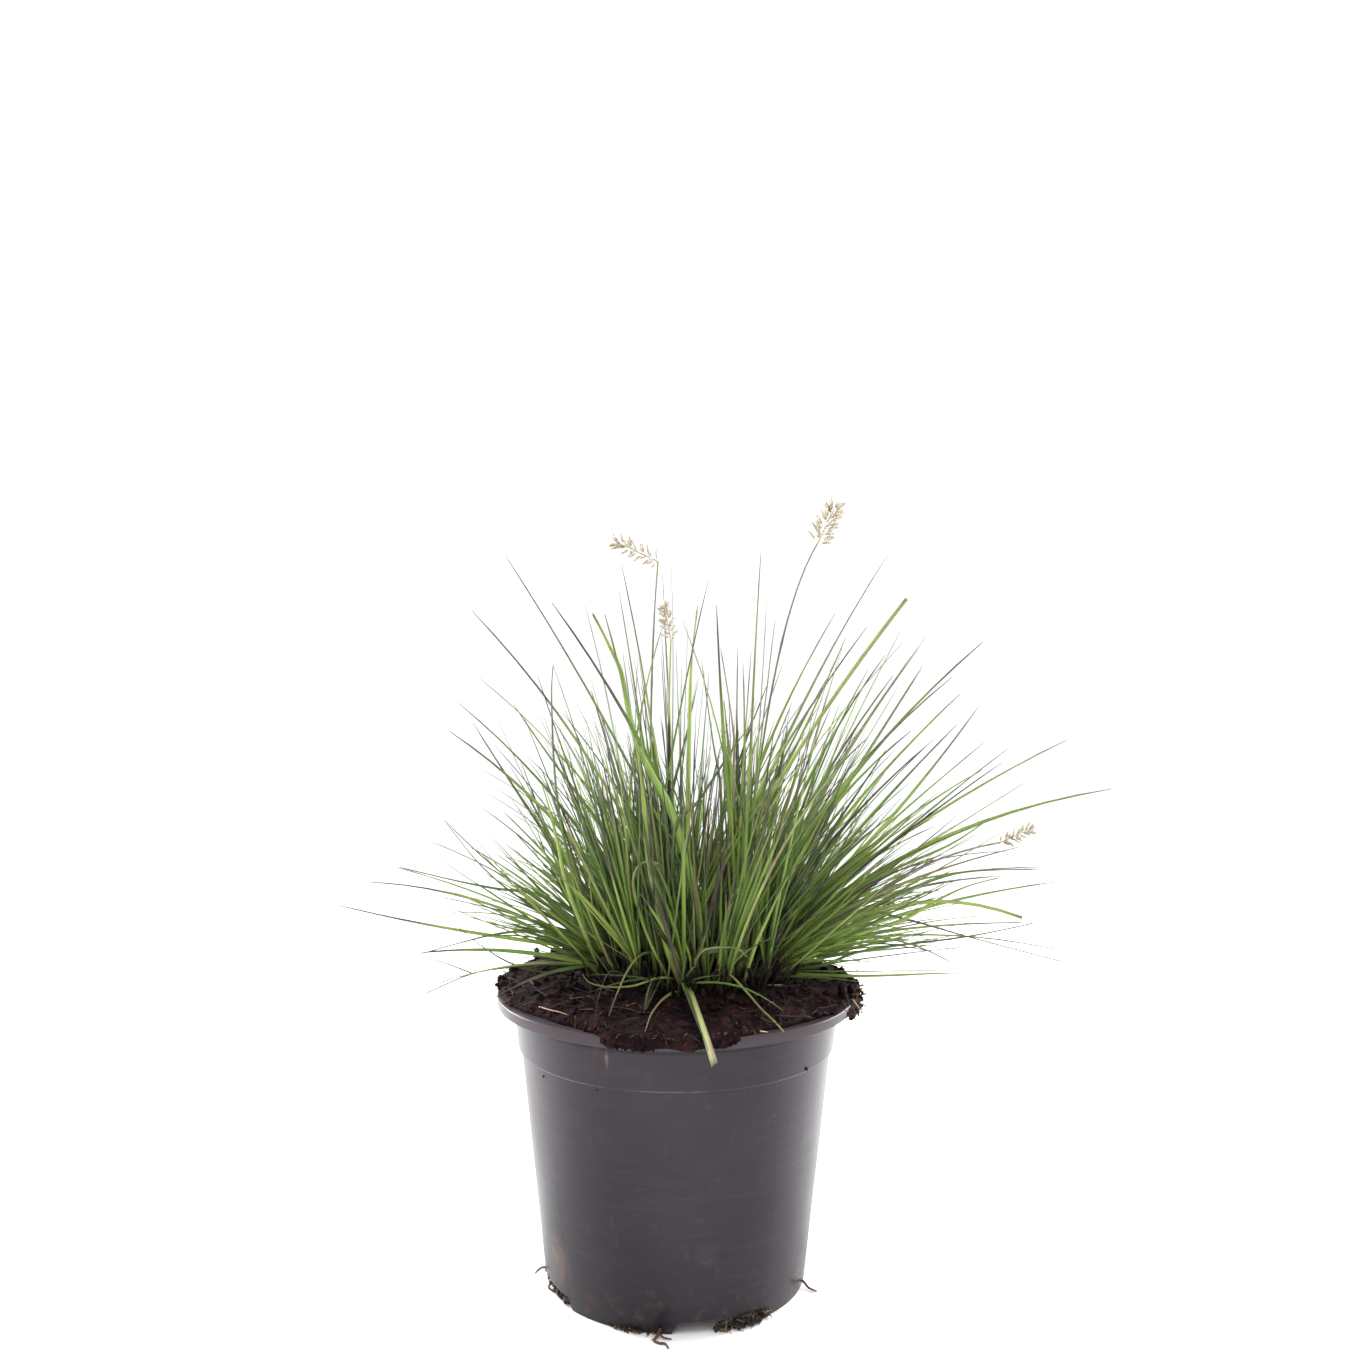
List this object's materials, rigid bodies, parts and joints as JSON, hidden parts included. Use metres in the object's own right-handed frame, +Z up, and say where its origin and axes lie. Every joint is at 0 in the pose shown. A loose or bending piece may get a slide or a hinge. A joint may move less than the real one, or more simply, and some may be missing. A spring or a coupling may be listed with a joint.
{
  "type": "potted fountain grass",
  "caption": "Young clump of fountain grass with fine arching leaves and bristly cream flower heads, in a round dark nursery pot filled with peat.",
  "frame": {"origin": "middle of the flat underside of the pot", "axes": "+Z up through the pot's axis, +X to the right and +Y away from the viewer in the front view"},
  "size_m": [0.412, 0.34, 0.4244],
  "materials": {
    "pot_plastic": "dark grey moulded plastic with a slight violet cast, satin, scuffed and dusty",
    "peat": "moist dark brown peat with pale fibres and thin roots",
    "crown": "dull straw and dark sheath bases",
    "leaf": "fine mid-green leaves, satin, with pale midribs and faded tips",
    "stem": "thin grey-green stems, purple-brown in places",
    "plume": "dry cream spikelets with tan shading and fine bristles"
  },
  "bodies": {
    "root": {"pot": "pot_plastic", "peat_root_ball": "peat", "root_mat_left": "peat", "root_mat_right": "peat", "grass_crown": "crown", "leaf_tuft_01": "leaf", "leaf_tuft_02": "leaf", "leaf_tuft_03": "leaf", "leaf_tuft_04": "leaf", "leaf_tuft_05": "leaf", "leaf_tuft_06": "leaf", "leaf_tuft_07": "leaf", "leaf_tuft_08": "leaf", "leaf_tuft_09": "leaf", "leaf_tuft_10": "leaf", "leaf_tuft_11": "leaf", "leaf_tuft_12": "leaf", "leaf_tuft_13": "leaf", "leaf_tuft_14": "leaf", "leaf_tuft_15": "leaf", "leaf_tuft_16": "leaf", "leaf_tuft_17": "leaf", "leaf_tuft_18": "leaf", "leaf_tuft_19": "leaf", "leaf_tuft_20": "leaf", "leaf_tuft_21": "leaf", "leaf_tuft_22": "leaf", "leaf_tuft_23": "leaf", "leaf_tuft_24": "leaf", "leaf_tuft_25": "leaf", "leaf_tuft_26": "leaf", "leaf_tuft_27": "leaf", "leaf_tuft_28": "leaf", "leaf_tuft_29": "leaf", "leaf_tuft_30": "leaf", "leaf_tuft_31": "leaf", "leaf_tuft_32": "leaf", "leaf_tuft_33": "leaf", "leaf_tuft_34": "leaf", "leaf_tuft_35": "leaf", "leaf_tuft_36": "leaf", "leaf_tuft_37": "leaf", "leaf_tuft_38": "leaf", "leaf_tuft_39": "leaf", "leaf_tuft_40": "leaf", "leaf_tuft_41": "leaf", "leaf_tuft_42": "leaf", "leaf_tuft_43": "leaf", "leaf_tuft_44": "leaf", "leaf_tuft_45": "leaf", "leaf_tuft_46": "leaf", "flower_stem_left": "stem", "flower_stem_right": "stem", "flower_stem_middle": "stem", "flower_stem_low": "stem", "flower_plume_left": "plume", "flower_plume_right": "plume", "flower_plume_middle": "plume", "flower_plume_low": "plume"}
  },
  "joints": []
}
